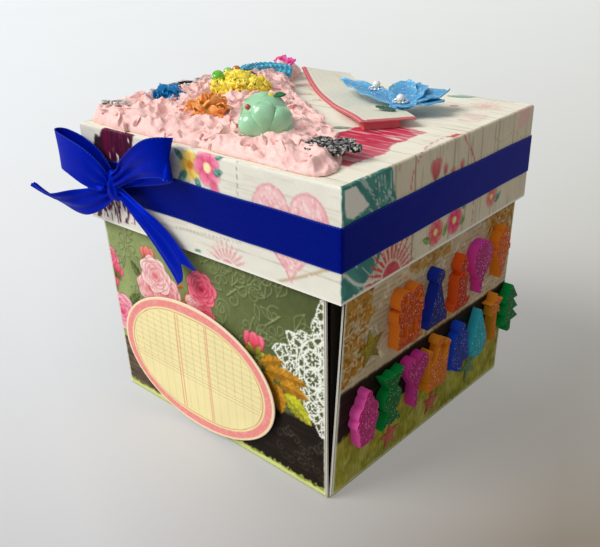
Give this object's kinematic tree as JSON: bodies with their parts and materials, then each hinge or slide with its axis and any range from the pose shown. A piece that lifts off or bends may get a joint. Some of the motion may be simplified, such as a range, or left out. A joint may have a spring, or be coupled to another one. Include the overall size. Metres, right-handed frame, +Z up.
{
  "type": "explosion box",
  "caption": "Square card keepsake box with nested fold-down layers and a loose lift-off lid, trimmed with a ribbon bow, foam stickers, charms and pink paste.",
  "frame": {"origin": "middle of the base's underside, on the surface the box stands on", "axes": "+Z up, -Y towards the wall with the oval tag, +X towards the wall with the foam stickers"},
  "size_m": [0.1477, 0.1487, 0.138],
  "materials": {
    "black_card": "matte",
    "plain_mat": "matte",
    "olive_print": "matte",
    "tan_print": "matte",
    "oval_card": "matte",
    "white_foam": "matte",
    "foam_orange": "glitter",
    "foam_navy": "glitter",
    "foam_red": "glitter",
    "foam_magenta": "glitter",
    "foam_green": "glitter",
    "foam_gold": "glitter",
    "foam_blue": "glitter",
    "foam_turquoise": "glitter",
    "foil_olive": "foil",
    "foil_blue": "foil",
    "foil_green": "foil",
    "foil_red": "foil",
    "lid_card": "matte",
    "lid_print": "matte",
    "blue_satin": "satin",
    "pink_paste": "matte",
    "mint_resin": "gloss",
    "silver_metal": "antiqued",
    "blue_glitter": "glitter",
    "orange_paper": "matte",
    "yellow_paper": "matte",
    "green_bead": "gloss",
    "lime_bead": "gloss",
    "amber_bead": "gloss",
    "dark_wire": "dull",
    "cyan_paper": "matte",
    "magenta_paper": "matte",
    "tag_card": "matte",
    "coral_foam": "matte",
    "blue_petal": "glitter",
    "pearl": "pearl",
    "leaf_green": "matte"
  },
  "bodies": {
    "box": {"outer_sheet": "black_card", "middle_sheet": "black_card", "inner_sheet": "black_card", "inner_mats": "plain_mat", "front_paper": "olive_print", "right_paper": "tan_print", "back_paper": "tan_print", "left_paper": "olive_print", "oval_tag": "oval_card", "tag_foam_pads": "white_foam", "foam_gift": "foam_orange", "foam_hat": "foam_navy", "foam_candle": "foam_red", "foam_balloon": "foam_magenta", "foam_cone": "foam_orange", "foam_cupcake": "foam_magenta", "foam_sweet": "foam_green", "foam_heart": "foam_magenta", "foam_crown": "foam_gold", "foam_bell": "foam_blue", "foam_drop": "foam_turquoise", "foam_wand": "foam_gold", "foam_tree": "foam_green", "star_olive": "foil_olive", "star_blue": "foil_blue", "star_green": "foil_green", "star_red_left": "foil_red", "star_red_right": "foil_red", "glitter_dot": "foam_gold"},
    "lid": {"lid_tray": "lid_card", "lid_paper": "lid_print", "ribbon_band": "blue_satin", "bow_loop_left": "blue_satin", "bow_loop_right": "blue_satin", "bow_tail_left": "blue_satin", "bow_tail_right": "blue_satin", "bow_knot": "blue_satin", "paste_topping": "pink_paste", "cake_charm": "mint_resin", "leaf_charm": "silver_metal", "feather_charm": "silver_metal", "openwork_charm": "silver_metal", "blue_charm": "blue_glitter", "orange_flower": "orange_paper", "yellow_flower": "yellow_paper", "bead_green": "green_bead", "bead_lime": "lime_bead", "bead_amber": "amber_bead", "bead_wire": "dark_wire", "cyan_twist": "cyan_paper", "blossom_left": "magenta_paper", "blossom_right": "magenta_paper", "card_tag": "tag_card", "tag_lift_pad": "coral_foam", "blue_flower": "blue_petal", "pearl_left": "pearl", "pearl_right": "pearl", "dark_leaf": "leaf_green"}
  },
  "joints": [
    {"name": "lid_lift", "type": "slide", "parent": "box", "child": "lid", "axis": [0, 0, 1], "range_m": [0, 0.06]}
  ]
}
